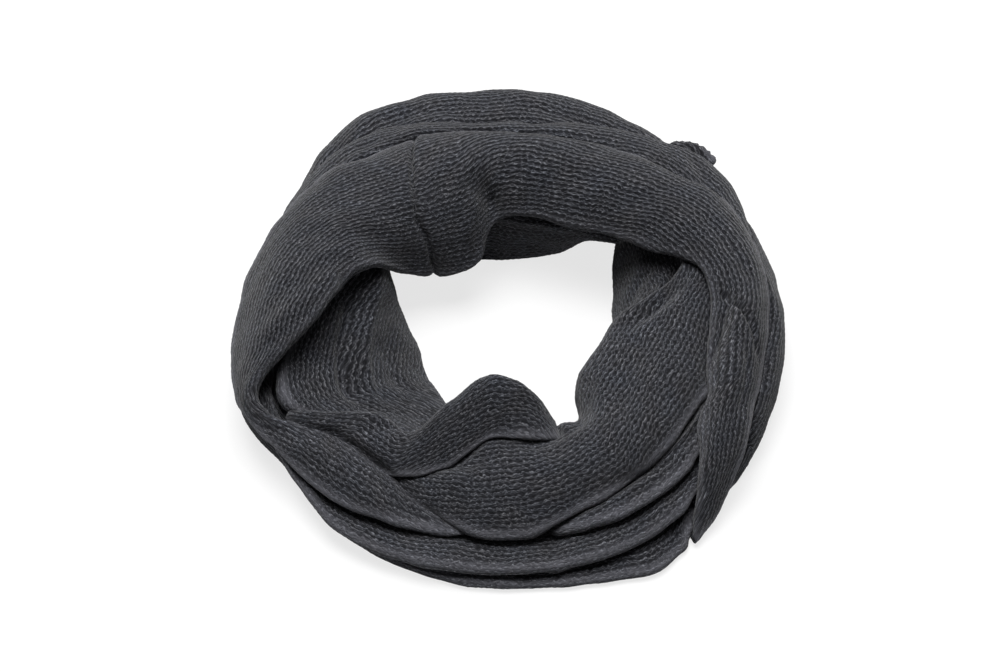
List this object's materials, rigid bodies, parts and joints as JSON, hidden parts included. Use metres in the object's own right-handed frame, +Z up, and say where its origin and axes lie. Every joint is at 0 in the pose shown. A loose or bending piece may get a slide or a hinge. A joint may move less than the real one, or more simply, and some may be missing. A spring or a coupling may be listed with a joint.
{
  "type": "infinity scarf",
  "caption": "Knitted infinity scarf, a joined loop of soft charcoal cloth wound double into a ring and laid flat, with overlapping folds round an open middle.",
  "frame": {"origin": "on the surface the scarf lies on, under the middle of its outline", "axes": "+X to the right and +Y to the back as the scarf is seen from its low side, +Z up"},
  "size_m": [0.3307, 0.3451, 0.087],
  "materials": {
    "upper_wrap_right": "soft knitted yarn, matt",
    "upper_wrap_left": "soft knitted yarn, matt",
    "front_roll": "soft knitted yarn, matt",
    "front_panel": "soft knitted yarn, matt",
    "front_fold": "soft knitted yarn, matt",
    "lower_front": "soft knitted yarn, matt",
    "back_second": "soft knitted yarn, matt",
    "back_inner": "soft knitted yarn, matt",
    "edge_corner": "soft knitted yarn, matt",
    "back_outer": "soft knitted yarn, matt",
    "right_inner": "soft knitted yarn, matt",
    "left_inner": "soft knitted yarn, matt",
    "bottom_fold": "soft knitted yarn, matt",
    "hidden_layers": "soft knitted yarn, matt"
  },
  "bodies": {
    "root": {"upper_wrap_right": "upper_wrap_right", "upper_wrap_left": "upper_wrap_left", "front_roll": "front_roll", "front_panel": "front_panel", "front_fold": "front_fold", "lower_front": "lower_front", "back_second": "back_second", "back_inner": "back_inner", "edge_corner": "edge_corner", "back_outer": "back_outer", "right_inner": "right_inner", "left_inner": "left_inner", "bottom_fold": "bottom_fold", "hidden_layers": "hidden_layers"}
  },
  "joints": []
}
